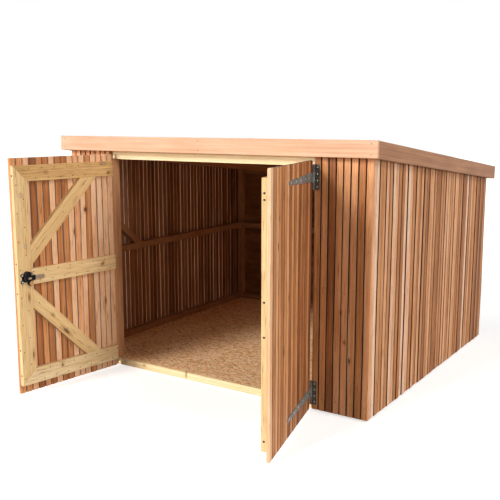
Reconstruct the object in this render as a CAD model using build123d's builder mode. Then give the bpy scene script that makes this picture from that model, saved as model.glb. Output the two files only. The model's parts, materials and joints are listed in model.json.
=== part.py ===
"""Slatted timber bike shelter with a pair of outward-opening braced doors.

Millimetres, +Z up. The origin is at ground level in the middle of the plan,
the doors face -Y, and both leaves are modelled standing open.
"""

import math
import os

from build123d import *

os.makedirs("parts", exist_ok=True)

# ---------------------------------------------------------------- cladding
slat_width = 38.0
slat_gap = 6.0
slat_thickness = 18.0
panel_slats = 8          # slats in each fixed panel beside the doorway
leaf_slats = 17          # slats on each door leaf
side_pitches = 46        # slat pitches along a side wall
slat_bottom = 8.0        # slats hang clear of the ground

# ------------------------------------------------------------------- roof
eaves_height = 1440.0    # underside of the roof deck at the front slats
roof_pitch = 6.25        # degrees, falling to the back
deck_thickness = 18.0
liner_thickness = 3.0
liner_upstand = 50.0     # height of the liner's turned-up edge
front_overhang = 52.0
side_overhang = 41.0
back_overhang = 57.0
fascia_rise = 90.0       # top of the front fascia above the eaves
fascia_height = 92.0
fascia_thickness = 20.0
rafter_count = 3
rafter_height = 45.0

# ------------------------------------------------------- framing and floor
post_size = 45.0         # square framing timber
jamb_depth = 70.0
header_height = 56.0     # below the eaves
sill_thickness = 22.0
floor_level = 45.0
floor_thickness = 18.0
floor_joint = 1390.0     # joint between the two floor sheets, from the front
floor_joint_gap = 3.0
floor_edge_gap = 2.0     # between the floor sheets and what surrounds them
bearer_width = 70.0      # one bearer lies in the middle of the plan
mid_rail_level = 690.0   # underside of the walls' middle rails
side_plate_height = 22.0
wall_brace_foot = 616.0  # where a wall brace meets the middle rail, from the front
wall_brace_angle = 40.0
back_board_thickness = 9.0

# ------------------------------------------------------------------ doors
left_open_angle = 97.5
right_open_angle = 104.0
leaf_drop = 23.0         # top of the leaves below the eaves
door_clearance = 6.0     # between the closed leaf and the sill and header
frame_width = 94.0       # stile and rails of a leaf, mitred at its free corners
frame_thickness = 28.0
frame_bottom = 60.0
frame_head_gap = 10.0    # below the header
stile_setback = 3.0      # stile edge behind the last slat's edge
rail_setback = 16.0      # rail ends from the hinge pin
brace_width = 86.0
brace_angle = 45.0
brace_offset = 20.0      # foot of a brace from the middle rail

# ----------------------------------------------------------------- hinges
pin_radius = 3.0
pin_clearance = 0.3
knuckle_radius = 6.0
knuckle_gap = 1.0
hinge_thickness = 2.5
plate_height = 138.0
plate_reach = 34.0
plate_screws = 4
plate_screw_margin = 16.0
strap_length = 457.0
strap_root = 54.0
strap_tip = 22.0
strap_screws = 5         # one in every second slat from the second slat
screw_radius = 2.5
screw_head_radius = 4.8
screw_hole_sides = 12    # the small screw holes are cut with flat sides

# ------------------------------------------------------------------- lock
lock_inset = 56.0        # centre of the lock from the stile's outer edge
lock_rise = -4.0         # line of the bolt above the middle of the frame
lock_width = 44.0
lock_drop = 20.0         # foot of the case below the bolt's line
lock_depth = 24.0
lock_edge_radius = 4.0
dome_rise = 20.0         # centre of the case's round head above the bolt's line
lug_radius = 10.0
lug_spread = 32.0        # lug centres to each side of the lock's centre
lug_rise = 20.0          # and above and below the bolt's line
lug_thickness = 5.0
guide_length = 30.0      # bridge over the bolt on the hinge side of the case
guide_wall = 3.0
window_width = 24.0      # opening in the case that shows the bolt
window_height = 13.0
cylinder_radius = 13.0
cylinder_clearance = 0.2
cylinder_offset = 18.0   # towards the hinges from the lock's centre
cylinder_drop = 29.0     # below the bolt's line
cylinder_length = 28.0
cylinder_collar = 3.0    # wall of the boss round the cylinder
keyway_width = 2.2
keyway_height = 9.0
keyway_depth = 12.0
bolt_width = 22.0
bolt_thickness = 6.0
bolt_corner = 4.0
bolt_standoff = 5.0      # clear of the timber
bolt_clearance = 0.5     # in the lock case
bolt_length = 138.0
bolt_setback = 36.0      # head of the drawn bolt from the stile's outer edge

# ------------------------------------------------------- derived positions
pitch = slat_width + slat_gap
front_slats = 2 * (panel_slats + leaf_slats)
width = front_slats * pitch - slat_gap
depth = side_pitches * pitch - slat_gap + slat_thickness
half_width = width / 2
front = -depth / 2
back = depth / 2
inner_front = front + slat_thickness
inner_side = half_width - slat_thickness
inner_back = back - slat_thickness

panel_width = panel_slats * pitch - slat_gap
jamb_x = half_width - panel_width
hinge_x = jamb_x - slat_gap / 2
hinge_y = front - knuckle_radius
leaf_width = leaf_slats * pitch - slat_gap

header_bottom = eaves_height - header_height
leaf_top = eaves_height - leaf_drop
fascia_top = eaves_height + fascia_rise
roof_fall = math.tan(math.radians(roof_pitch))
deck_side = half_width + side_overhang - fascia_thickness
deck_front = front - front_overhang + fascia_thickness
deck_back = back + back_overhang - fascia_thickness

door_line = inner_front + door_clearance
back_frame = inner_back - back_board_thickness
post_x = inner_side - post_size
back_post_y = back_frame - post_size
opening_edge = jamb_x + post_size

frame_top = header_bottom - frame_head_gap
frame_middle = (frame_bottom + frame_top) / 2
leaf_edge = slat_gap / 2 + leaf_width
stile_outer = leaf_edge - stile_setback
stile_inner = stile_outer - frame_width
hinge_levels = (frame_bottom + frame_width / 2, frame_top - frame_width / 2)


def roof_level(y):
    """Height of the roof deck's underside at a distance y along the plan."""
    return eaves_height - roof_fall * (y - front)


roof_underside = Plane(
    origin=(0, front, eaves_height),
    x_dir=(1, 0, 0),
    z_dir=(0, math.sin(math.radians(roof_pitch)), math.cos(math.radians(roof_pitch))),
)


def save(piece, name):
    """Label a finished piece and write its STEP file."""
    piece.part.label = name
    export_step(piece.part, f"parts/{name}.step")


def block(low, high, mode=Mode.ADD):
    """A squared timber or sheet between two corners, inside the current part."""
    size = [h - l for l, h in zip(low, high)]
    centre = tuple((h + l) / 2 for l, h in zip(low, high))
    with Locations(centre):
        Box(*size, mode=mode)


def roof_slab(x_low, x_high, y_low, y_high, lift, thickness, mode=Mode.ADD):
    """A slab with plumb ends that follows the roof's fall, lifted from its underside."""
    outline = [
        (y_low, roof_level(y_low) + lift),
        (y_high, roof_level(y_high) + lift),
        (y_high, roof_level(y_high) + lift + thickness),
        (y_low, roof_level(y_low) + lift + thickness),
    ]
    with BuildSketch(Plane.YZ.offset(x_low)) as profile:
        with BuildLine():
            Polyline(*outline, close=True)
        make_face()
    extrude(profile.sketch, amount=x_high - x_low, mode=mode)


# ==================================================================== floor
bearer_top = floor_level - floor_thickness
floor_front = inner_front + floor_edge_gap
sill_back = door_line + sill_thickness + floor_edge_gap
sill_side = opening_edge + floor_edge_gap
floor_back = back_frame - floor_edge_gap
floor_side = inner_side - floor_edge_gap
joint_y = front + floor_joint
first_bearer = sill_back + bearer_width / 2
last_bearer = floor_back - bearer_width / 2
bearer_lines = [first_bearer, first_bearer / 2, 0, joint_y, (joint_y + last_bearer) / 2, last_bearer]

with BuildPart() as floor_bearers:
    with Locations([(0, y, bearer_top / 2) for y in bearer_lines]):
        Box(2 * floor_side, bearer_width, bearer_top)
    for x_low, x_high in ((-floor_side, -sill_side), (sill_side, floor_side)):
        block((x_low, floor_front, 0), (x_high, sill_back - floor_joint_gap, bearer_top))
save(floor_bearers, "floor_bearers")

with BuildPart() as floor_front_sheet:
    block((-floor_side, floor_front, bearer_top), (floor_side, joint_y - floor_joint_gap / 2, floor_level))
    block((-sill_side, floor_front, bearer_top), (sill_side, sill_back, floor_level), mode=Mode.SUBTRACT)
save(floor_front_sheet, "floor_front_sheet")

with BuildPart() as floor_back_sheet:
    block((-floor_side, joint_y + floor_joint_gap / 2, bearer_top), (floor_side, floor_back, floor_level))
save(floor_back_sheet, "floor_back_sheet")

# ============================================================ doorway frame
with BuildPart() as door_sill:
    block((-opening_edge, door_line, 0), (opening_edge, door_line + sill_thickness, floor_level))
save(door_sill, "door_sill")

with BuildPart() as door_header:
    block((-opening_edge, door_line, header_bottom), (opening_edge, door_line + post_size, eaves_height))
    split(bisect_by=roof_underside, keep=Keep.BOTTOM)
save(door_header, "door_header")

with BuildPart() as jamb_posts:
    for side in (-1, 1):
        with Locations((side * (jamb_x + post_size / 2), inner_front + jamb_depth / 2,
                        (floor_level + header_bottom) / 2)):
            Box(post_size, jamb_depth, header_bottom - floor_level)
save(jamb_posts, "jamb_posts")

# ============================================================= wall framing
with BuildPart() as front_corner_posts:
    for side in (-1, 1):
        with Locations((side * (post_x + post_size / 2), inner_front + post_size / 2,
                        (floor_level + eaves_height) / 2)):
            Box(post_size, post_size, eaves_height - floor_level)
    split(bisect_by=roof_underside, keep=Keep.BOTTOM)
save(front_corner_posts, "front_corner_posts")

with BuildPart() as back_corner_posts:
    for side in (-1, 1):
        with Locations((side * (post_x + post_size / 2), back_post_y + post_size / 2,
                        (floor_level + eaves_height) / 2)):
            Box(post_size, post_size, eaves_height - floor_level)
    split(bisect_by=roof_underside, keep=Keep.BOTTOM)
save(back_corner_posts, "back_corner_posts")

wall_rail_start = inner_front + post_size


def wall_rail_ring(front_low, back_low, height):
    """The rails of one level on both front panels and the back wall, inside the current part."""
    for side in (-1, 1):
        panel_middle = side * (opening_edge + post_x) / 2
        with Locations((panel_middle, inner_front + post_size / 2, front_low + height / 2)):
            Box(post_x - opening_edge, post_size, height)
    block((-post_x, back_post_y, back_low), (post_x, back_frame, back_low + height))


for name, level in (("bottom_rails", floor_level), ("middle_rails", mid_rail_level)):
    with BuildPart() as rails:
        wall_rail_ring(level, level, post_size)
        for rail_x in (-inner_side, post_x):
            block((rail_x, wall_rail_start, level), (rail_x + post_size, back_post_y, level + post_size))
    save(rails, name)

with BuildPart() as top_plates:
    wall_rail_ring(header_bottom, roof_level(back_frame) - post_size, eaves_height - header_bottom)
    split(bisect_by=roof_underside, keep=Keep.BOTTOM)
    for rail_x in (-inner_side, post_x):
        roof_slab(
            rail_x, rail_x + post_size, wall_rail_start, back_post_y, -side_plate_height, side_plate_height,
        )
save(top_plates, "top_plates")

wall_brace_run = front + wall_brace_foot - wall_rail_start
wall_brace_slope = math.radians(wall_brace_angle)
wall_brace_low = mid_rail_level + post_size
wall_brace_high = wall_brace_low + wall_brace_run * math.tan(wall_brace_slope)
plumb_cut = post_size / math.cos(wall_brace_slope)
level_cut = post_size / math.sin(wall_brace_slope)

with BuildPart() as wall_braces:
    for rail_x in (-inner_side, post_x):
        with BuildSketch(Plane.YZ.offset(rail_x)):
            with BuildLine():
                Polyline(
                    (wall_rail_start, wall_brace_high),
                    (wall_rail_start, wall_brace_high - plumb_cut),
                    (wall_rail_start + wall_brace_run - level_cut, wall_brace_low),
                    (wall_rail_start + wall_brace_run, wall_brace_low),
                    close=True,
                )
            make_face()
        extrude(amount=post_size)
save(wall_braces, "wall_braces")

with BuildPart() as back_wall_board:
    block((-inner_side, back_frame, slat_bottom), (inner_side, inner_back, eaves_height))
    split(bisect_by=roof_underside, keep=Keep.BOTTOM)
save(back_wall_board, "back_wall_board")

# ================================================================= cladding
slat_height = eaves_height - slat_bottom
slat_middle = (eaves_height + slat_bottom) / 2

for side, name in ((-1, "left"), (1, "right")):
    with BuildPart() as front_cladding:
        slat_lines = [half_width - slat_width / 2 - i * pitch for i in range(panel_slats)]
        with Locations([(side * x, front + slat_thickness / 2, slat_middle) for x in slat_lines]):
            Box(slat_width, slat_thickness, slat_height)
        split(bisect_by=roof_underside, keep=Keep.BOTTOM)
    save(front_cladding, f"front_{name}_cladding")

    with BuildPart() as wall_cladding:
        wall_x = side * (half_width - slat_thickness / 2)
        slat_lines = [front + i * pitch + slat_width / 2 for i in range(1, side_pitches)]
        with Locations([(wall_x, y, slat_middle) for y in slat_lines]):
            Box(slat_thickness, slat_width, slat_height)
        with Locations((wall_x, (inner_front + front + slat_width) / 2, slat_middle)):
            Box(slat_thickness, slat_width - slat_thickness, slat_height)
        split(bisect_by=roof_underside, keep=Keep.BOTTOM)
    save(wall_cladding, f"{name}_wall_cladding")

with BuildPart() as back_wall_cladding:
    slat_lines = [half_width - slat_width / 2 - i * pitch for i in range(front_slats)]
    with Locations([(x, back - slat_thickness / 2, slat_middle) for x in slat_lines]):
        Box(slat_width, slat_thickness, slat_height)
    split(bisect_by=roof_underside, keep=Keep.BOTTOM)
save(back_wall_cladding, "back_wall_cladding")

# ===================================================================== roof
rafter_front = door_line + post_size
rafter_back = back_post_y
rafter_spacing = 2 * post_x / (rafter_count + 1)

with BuildPart() as roof_rafters:
    for i in range(rafter_count):
        x = -post_x + rafter_spacing * (i + 1) - post_size / 2
        roof_slab(x, x + post_size, rafter_front, rafter_back, -rafter_height, rafter_height)
save(roof_rafters, "roof_rafters")

with BuildPart() as roof_deck:
    roof_slab(-deck_side, deck_side, deck_front, deck_back, 0, deck_thickness)
save(roof_deck, "roof_deck")

with BuildPart() as roof_liner:
    roof_slab(-deck_side, deck_side, deck_front, deck_back, deck_thickness, liner_upstand)
    roof_slab(
        -deck_side + liner_thickness, deck_side - liner_thickness,
        deck_front + liner_thickness, deck_back - liner_thickness,
        deck_thickness + liner_thickness, liner_upstand, mode=Mode.SUBTRACT,
    )
save(roof_liner, "roof_liner")

fascia_front = front - front_overhang
fascia_back = back + back_overhang
fascia_side = half_width + side_overhang
fascia_lift = fascia_top - fascia_height - roof_level(fascia_front)

with BuildPart() as front_fascia:
    block((-fascia_side, fascia_front, fascia_top - fascia_height), (fascia_side, deck_front, fascia_top))
save(front_fascia, "front_fascia")

back_fascia_low = roof_level(deck_back) + fascia_lift
with BuildPart() as back_fascia:
    block(
        (-fascia_side, deck_back, back_fascia_low),
        (fascia_side, fascia_back, back_fascia_low + fascia_height),
    )
save(back_fascia, "back_fascia")

for side, name in ((-1, "left"), (1, "right")):
    with BuildPart() as side_fascia:
        x_low = deck_side if side > 0 else -fascia_side
        roof_slab(x_low, x_low + fascia_thickness, deck_front, deck_back, fascia_lift, fascia_height)
    save(side_fascia, f"{name}_fascia")


# ==================================================================== doors
open_angles = {-1: left_open_angle, 1: right_open_angle}


def leaf_face(side, depth_behind):
    """Plane on a leaf: x from the hinge pin to the free edge, y up.

    It lies depth_behind the outer face of the slats, and an extrusion of
    side * thickness runs towards the shelter's inside when the leaf is shut.
    """
    swing = math.radians(side * open_angles[side])
    along = Vector(-side * math.cos(swing), -side * math.sin(swing), 0)
    inward = Vector(-math.sin(swing), math.cos(swing), 0)
    origin = Vector(side * hinge_x, hinge_y, 0) + inward * (knuckle_radius + depth_behind)
    return Plane(origin=origin, x_dir=along, z_dir=along.cross(Vector(0, 0, 1)))


def leaf_timber(side, outline):
    """A framing timber on the back of a leaf's slats, inside the current part."""
    with BuildSketch(leaf_face(side, slat_thickness)) as profile:
        with BuildLine():
            Polyline(*outline, close=True)
        make_face()
    extrude(profile.sketch, amount=side * frame_thickness)


brace_slope = math.radians(brace_angle)
brace_foot = frame_width / 2 + brace_offset
brace_head = frame_top - frame_width - frame_middle
brace_cut = brace_width / math.cos(brace_slope)
brace_outline = [
    (stile_inner, brace_foot),
    (stile_inner, brace_foot + brace_cut),
    (stile_inner - (brace_head - brace_foot - brace_cut) / math.tan(brace_slope), brace_head),
    (stile_inner - (brace_head - brace_foot) / math.tan(brace_slope), brace_head),
]

frame_outlines = {
    "stile": [
        (stile_outer, frame_bottom), (stile_outer, frame_top),
        (stile_inner, frame_top - frame_width), (stile_inner, frame_bottom + frame_width),
    ],
    "top_rail": [
        (rail_setback, frame_top), (stile_outer, frame_top),
        (stile_inner, frame_top - frame_width), (rail_setback, frame_top - frame_width),
    ],
    "middle_rail": [
        (rail_setback, frame_middle + frame_width / 2), (stile_inner, frame_middle + frame_width / 2),
        (stile_inner, frame_middle - frame_width / 2), (rail_setback, frame_middle - frame_width / 2),
    ],
    "bottom_rail": [
        (rail_setback, frame_bottom + frame_width), (stile_inner, frame_bottom + frame_width),
        (stile_outer, frame_bottom), (rail_setback, frame_bottom),
    ],
    "upper_brace": [(u, frame_middle + rise) for u, rise in brace_outline],
    "lower_brace": [(u, frame_middle - rise) for u, rise in brace_outline],
}

for side, name in ((-1, "left"), (1, "right")):
    with BuildPart() as leaf_cladding:
        with BuildSketch(leaf_face(side, 0)):
            slat_lines = [slat_gap / 2 + slat_width / 2 + i * pitch for i in range(leaf_slats)]
            with Locations([(u, (slat_bottom + leaf_top) / 2) for u in slat_lines]):
                Rectangle(slat_width, leaf_top - slat_bottom)
        extrude(amount=side * slat_thickness)
    save(leaf_cladding, f"{name}_door_cladding")

    for piece, outline in frame_outlines.items():
        with BuildPart() as timber:
            leaf_timber(side, outline)
        save(timber, f"{name}_door_{piece}")

# =================================================================== hinges
plate_knuckle = (plate_height - strap_root - 2 * knuckle_gap) / 2
relief = knuckle_radius + knuckle_gap
countersink = math.degrees(math.atan((screw_head_radius - screw_radius) / hinge_thickness))
slat_centre = slat_gap / 2 + slat_width / 2      # first slat's middle from the hinge pin
strap_holes = [slat_centre + (2 * i + 1) * pitch for i in range(strap_screws)]
plate_holes = [
    (2 * i / (plate_screws - 1) - 1) * (plate_height / 2 - plate_screw_margin) for i in range(plate_screws)
]

for side, name in ((-1, "left"), (1, "right")):
    with BuildPart() as hinge_plates:
        for centre in hinge_levels:
            plate_low = centre - plate_height / 2
            plate_high = centre + plate_height / 2
            with BuildSketch(Plane.XZ.offset(-front)):
                with Locations((side * (hinge_x + plate_reach / 2), centre)):
                    Rectangle(plate_reach, plate_height)
                with Locations((side * (hinge_x + relief / 2), centre)):
                    Rectangle(relief, strap_root + 2 * knuckle_gap, mode=Mode.SUBTRACT)
            extrude(amount=hinge_thickness)
            with BuildSketch(Plane.XZ.offset(hinge_thickness - front)):
                with Locations([(side * (hinge_x + slat_centre), centre + rise) for rise in plate_holes]):
                    RegularPolygon(screw_head_radius, screw_hole_sides)
            extrude(amount=-hinge_thickness, taper=countersink, mode=Mode.SUBTRACT)
            for knuckle_low in (plate_low, plate_high - plate_knuckle):
                with BuildSketch(Plane.XY.offset(knuckle_low)):
                    with Locations((side * hinge_x, hinge_y)):
                        Circle(knuckle_radius)
                extrude(amount=plate_knuckle)
            with BuildSketch(Plane.XY.offset(plate_low)):
                with Locations((side * hinge_x, hinge_y)):
                    Circle(pin_radius)
            extrude(amount=plate_height)
    save(hinge_plates, f"{name}_hinge_plates")

    with BuildPart() as hinge_straps:
        for centre in hinge_levels:
            with BuildSketch(leaf_face(side, -hinge_thickness)):
                with BuildLine():
                    nose = strap_length - strap_tip / 2
                    upper = Line((0, centre + strap_root / 2), (nose, centre + strap_tip / 2))
                    tip = RadiusArc(upper @ 1, (nose, centre - strap_tip / 2), strap_tip / 2)
                    lower = Line(tip @ 1, (0, centre - strap_root / 2))
                    Line(lower @ 1, upper @ 0)
                make_face()
            extrude(amount=side * hinge_thickness)
            with BuildSketch(leaf_face(side, -hinge_thickness)):
                with Locations([(u, centre) for u in strap_holes]):
                    RegularPolygon(screw_head_radius, screw_hole_sides)
            extrude(amount=side * hinge_thickness, taper=countersink, mode=Mode.SUBTRACT)
            with BuildSketch(Plane.XY.offset(centre - strap_root / 2)):
                with Locations((side * hinge_x, hinge_y)):
                    Circle(knuckle_radius)
            extrude(amount=strap_root)
            with BuildSketch(Plane.XY.offset(centre - strap_root / 2)):
                with Locations((side * hinge_x, hinge_y)):
                    Circle(pin_radius + pin_clearance)
            extrude(amount=strap_root, mode=Mode.SUBTRACT)
    save(hinge_straps, f"{name}_hinge_straps")

# ===================================================================== lock
leaf_back = leaf_face(-1, slat_thickness + frame_thickness)
lock_centre = stile_outer - lock_inset
bolt_line = frame_middle + lock_rise
bolt_centre = stile_outer - bolt_setback - bolt_length / 2
guide_centre = lock_centre - lock_width / 2 - guide_length / 2
cylinder_spot = (lock_centre - cylinder_offset, bolt_line - cylinder_drop)
lug_spots = [
    (lock_centre + du, bolt_line + dz) for du in (-lug_spread, lug_spread) for dz in (-lug_rise, lug_rise)
]

with BuildPart() as lock_case:
    with BuildSketch(leaf_back):
        with Locations((lock_centre, bolt_line + (dome_rise - lock_drop) / 2)):
            Rectangle(lock_width, dome_rise + lock_drop)
        with Locations((lock_centre, bolt_line + dome_rise)):
            Circle(lock_width / 2)
        with Locations(cylinder_spot):
            Circle(cylinder_radius + cylinder_collar)
    extrude(amount=-lock_depth)
    case_front = lock_case.faces().sort_by(Axis(leaf_back.origin, leaf_back.z_dir)).first
    fillet(case_front.edges(), lock_edge_radius)
    with BuildSketch(leaf_back):
        with Locations((lock_centre, bolt_line)):
            Rectangle(2 * lug_spread, 2 * lug_rise)
        with Locations(lug_spots):
            Circle(lug_radius)
    extrude(amount=-lug_thickness)
    with BuildSketch(leaf_back):
        with Locations((guide_centre, bolt_line)):
            Rectangle(guide_length, bolt_width + 2 * guide_wall)
    extrude(amount=-(bolt_standoff + bolt_thickness + guide_wall))
    with BuildSketch(leaf_back.offset(bolt_clearance - bolt_standoff)):
        with Locations((bolt_centre, bolt_line)):
            Rectangle(2 * bolt_length, bolt_width + 2 * bolt_clearance)
    extrude(amount=-(bolt_thickness + 2 * bolt_clearance), mode=Mode.SUBTRACT)
    with BuildSketch(leaf_back.offset(-bolt_standoff)):
        with Locations((lock_centre - lock_width / 2 + window_width / 2, bolt_line)):
            Rectangle(window_width, window_height)
    extrude(amount=-lock_depth, mode=Mode.SUBTRACT)
    with BuildSketch(leaf_back):
        with Locations(cylinder_spot):
            Circle(cylinder_radius + cylinder_clearance)
    extrude(amount=-lock_depth, mode=Mode.SUBTRACT)
    with BuildSketch(leaf_back):
        with Locations(lug_spots):
            RegularPolygon(screw_radius, screw_hole_sides)
    extrude(amount=-lug_thickness, mode=Mode.SUBTRACT)
save(lock_case, "lock_case")

with BuildPart() as lock_cylinder:
    with BuildSketch(leaf_back):
        with Locations(cylinder_spot):
            Circle(cylinder_radius)
    extrude(amount=-cylinder_length)
    with BuildSketch(leaf_back.offset(-cylinder_length)):
        with Locations(cylinder_spot):
            Rectangle(keyway_width, keyway_height)
    extrude(amount=keyway_depth, mode=Mode.SUBTRACT)
save(lock_cylinder, "lock_cylinder")

with BuildPart() as lock_bolt:
    with BuildSketch(leaf_back.offset(-bolt_standoff)):
        with Locations((bolt_centre, bolt_line)):
            RectangleRounded(bolt_length, bolt_width, bolt_corner)
    extrude(amount=-bolt_thickness)
save(lock_bolt, "lock_bolt")
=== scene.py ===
"""Looks of the slatted timber bike shelter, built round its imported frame. Metres, +Z up, doors face -Y."""

import json
import math
import random

import bpy
from mathutils import Matrix, Vector


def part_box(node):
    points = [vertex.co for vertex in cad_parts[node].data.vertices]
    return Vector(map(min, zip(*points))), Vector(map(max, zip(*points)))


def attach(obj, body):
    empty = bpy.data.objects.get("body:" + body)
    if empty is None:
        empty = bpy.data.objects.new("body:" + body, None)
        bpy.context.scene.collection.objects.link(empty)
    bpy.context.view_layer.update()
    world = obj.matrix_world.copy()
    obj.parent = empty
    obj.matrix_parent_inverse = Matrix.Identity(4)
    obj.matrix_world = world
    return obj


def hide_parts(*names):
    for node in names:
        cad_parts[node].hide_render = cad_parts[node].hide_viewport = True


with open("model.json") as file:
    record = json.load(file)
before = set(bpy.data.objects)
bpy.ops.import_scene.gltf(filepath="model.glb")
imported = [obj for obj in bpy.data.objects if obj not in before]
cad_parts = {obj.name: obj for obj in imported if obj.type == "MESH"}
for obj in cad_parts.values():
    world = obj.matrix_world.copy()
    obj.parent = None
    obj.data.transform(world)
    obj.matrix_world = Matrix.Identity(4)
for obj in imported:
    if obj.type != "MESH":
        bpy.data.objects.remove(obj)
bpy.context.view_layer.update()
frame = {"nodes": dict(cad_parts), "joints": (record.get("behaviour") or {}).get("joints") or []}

# which way each side lies along X
LEFT = -1
RIGHT = 1
SIDES = ((LEFT, "left"), (RIGHT, "right"))

# -------------------------------------------------------------------- slats
SLAT_WIDTH = 0.038
SLAT_GAP = 0.006
SLAT_THICKNESS = 0.018
PITCH = SLAT_WIDTH + SLAT_GAP
PANEL_SLATS = 8
LEAF_SLATS = 17
SPARE_LENGTH = 0.004         # wall slats are modelled this much too long, and then cut to the roof
# sideways lean of a slat at a quarter, half and three quarters of its height
SLAT_BOWS = (
    (0.0, 0.0, 0.0), (0.0014, 0.0022, 0.0012), (-0.0010, -0.0014, 0.0008),
    (0.0019, -0.0006, -0.0021), (-0.0018, -0.0026, -0.0012), (0.0012, 0.0004, -0.0017),
    (0.0020, 0.0028, 0.0022), (-0.0006, 0.0012, 0.0021),
)
BOW_LEVELS = (0.25, 0.5, 0.75)
LEAF_BOW = 1.2               # the leaves' slats are more bent by this factor
SIDE_BOW = 1.35              # and the side walls' by this one
NARROW_GAP = 0.0008          # no gap between bent slats gets narrower or wider than these
WIDE_GAP = 0.0105
LEVEL_ROW = 0.0006           # how far slats stand in front of or behind their row's face
UNEVEN_ROW = 0.0026          # and how far in the rougher walls

# ----------------------------------------------------- rounding of the edges
SLAT_EASE = 0.0022
BOARD_EASE = 0.0016          # framing timber and boards
SHEET_EASE = 0.0008          # floor, roof and back wall sheets

# --------------------------------------------------------- screws and nails
SCREW_SIDES = 12
SCREW_HEAD = 0.0033          # radius of the heads that hold the slats to the frames
EDGE_SCREW_HEAD = 0.0056     # and of those in the edges of the stiles and on the lock's lugs
SCREW_LEVEL = 0.029          # above and below the middle of a rail, slat by slat
STILE_SCREW_STEP = 0.083
BRACE_SHIFT = 0.030          # from the middle of a brace's box to its centre line
BRACE_SCREW_SHARES = (-0.36, 0.04, 0.36)     # from a brace's middle, as shares of its height
STILE_EDGE_SCREWS = {        # levels above the ground
    LEFT: (1.316, 0.802, 0.624, 0.280, 0.123),
    RIGHT: (1.304, 1.273, 0.795, 0.627, 0.112),
}
NAIL_SIDES = 8
NAIL_HEAD = 0.0026           # in the fascia and the sill
NAIL_EDGE = 0.018            # from the fascia's edges
NAIL_END = 0.036             # and from its ends
SILL_NAILS = (-0.6, -0.18, 0.24, 0.62)       # places along X
SLAT_NAIL = 0.0022           # smaller ones hold the wall slats to the rails
SLAT_NAIL_SHIFT = 0.009      # above and below the middle of a rail, slat by slat

# --------------------------------------------------------- hinges and lock
PLATE_HEIGHT = 0.138
PLATE_SCREW_RISES = (-0.053, -0.01767, 0.01767, 0.053)
STRAP_SCREW_REACHES = (0.066, 0.154, 0.242, 0.330, 0.418)
HINGE_SCREW_HEAD = 0.0044    # these sit in the hinges' own countersunk holes
HINGE_SCREW_NECK = 0.0023
HINGE_THICKNESS = 0.0025
LOCK_LUG_RADIUS = 0.010
LOCK_LUG_SPREAD = 0.032
LOCK_LUG_RISE = 0.020
LOCK_LUG_THICKNESS = 0.005
WINDOW_REACH = (-0.0215, 0.0015)     # the lock's window, from the middle of its case
WINDOW_HALF_HEIGHT = 0.0062
WINDOW_PLATE_DEPTH = (0.016, 0.020)  # its plate, from the back of the lock
WINDOW_PLATE_RIM = 0.0015
WINDOW_PLATE_RISE = 0.0008

sill_low, sill_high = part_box("door_sill")
wall_low, wall_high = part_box("front_left_cladding")
JOINTS = {joint["name"]: joint for joint in frame["joints"]}
LEAVES = {LEFT: ("left_door", "left_door_hinge"), RIGHT: ("right_door", "right_door_hinge")}


# ================================================== where the leaves stand open
def hinge_pin(side):
    return Vector(JOINTS[LEAVES[side][1]]["pos_m"])


def leaf_matrix(side):
    """Turns a piece of a shut leaf about its hinge pin to where the leaf stands open."""
    joint = JOINTS[LEAVES[side][1]]
    pin = hinge_pin(side)
    swing = math.radians(-joint["range_deg"][0])
    turn = Matrix.Rotation(swing, 4, Vector(joint["axis"]))
    return Matrix.Translation(pin) @ turn @ Matrix.Translation(-pin)


# --------------------------------------------------- knots that sit in one place
KNOT_DEPTH = 0.02
SILL_KNOT_DEPTH = 0.016
LEAF_FRAME_FACE = 0.046      # the inner face of a leaf's frame, behind the face of its slats


def front_knot(x, face, z, wide, high, code, deep=KNOT_DEPTH):
    """A knot on a face that looks to the front: its middle, half its width and height, and its colour."""
    return (x, face, z), (0, 0, 0), (wide, deep, high), code


def leaf_knot(side, deep, out, level, long, wide, tilt, code):
    """A knot on a leaf, this deep behind its slats' face, out from its hinge pin and up from the ground.

    long and wide are half its size along and across the grain, which tilts this much from level.
    """
    turn = leaf_matrix(side).to_3x3() @ Matrix.Rotation(math.radians(tilt), 3, "Y")
    shut = Vector((hinge_pin(side).x - side * out, wall_low.y + deep, level))
    return leaf_matrix(side) @ shut, turn.to_euler(), (long, KNOT_DEPTH, wide), code


WALL_KNOTS = (
    (0.977, 0.330, 0.010, 0.017, "4e2814"),
    (0.923, 0.595, 0.006, 0.012, "301608"),
    (0.948, 0.430, 0.007, 0.010, "8a4c2a"),
)
LEFT_SLAT_KNOTS = (
    (0.224, 1.078, 0.017, 0.012, 90, "140b07"),
    (0.313, 0.946, 0.022, 0.007, 90, "6a3418"),
    (0.086, 0.464, 0.024, 0.007, 90, "6a3418"),
)
RIGHT_SLAT_KNOTS = (
    (0.622, 1.043, 0.020, 0.006, 90, "3a1c0e"),
    (0.606, 1.174, 0.014, 0.005, 90, "54290f"),
    (0.438, 0.756, 0.018, 0.007, 90, "3a1c0e"),
    (0.519, 0.496, 0.016, 0.006, 90, "54290f"),
)
LEFT_FRAME_KNOTS = (
    (0.095, 1.362, 0.020, 0.009, 0, "8a8474"),
    (0.055, 1.302, 0.009, 0.008, 0, "70421f"),
    (0.521, 1.330, 0.012, 0.008, 0, "a87840"),
    (0.123, 0.722, 0.014, 0.010, 45, "7a5526"),
    (0.421, 0.337, 0.036, 0.010, -45, "4e3018"),
    (0.516, 0.457, 0.014, 0.007, -45, "946430"),
    (0.672, 0.594, 0.022, 0.006, 90, "8a6030"),
    (0.663, 0.240, 0.024, 0.007, 90, "7a5228"),
    (0.460, 0.125, 0.010, 0.008, 0, "5a3a1c"),
    (0.697, 1.203, 0.010, 0.008, 90, "b4b0a0"),      # these two are grey filler
    (0.683, 0.901, 0.009, 0.006, 90, "b4b0a0"),
)


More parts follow.
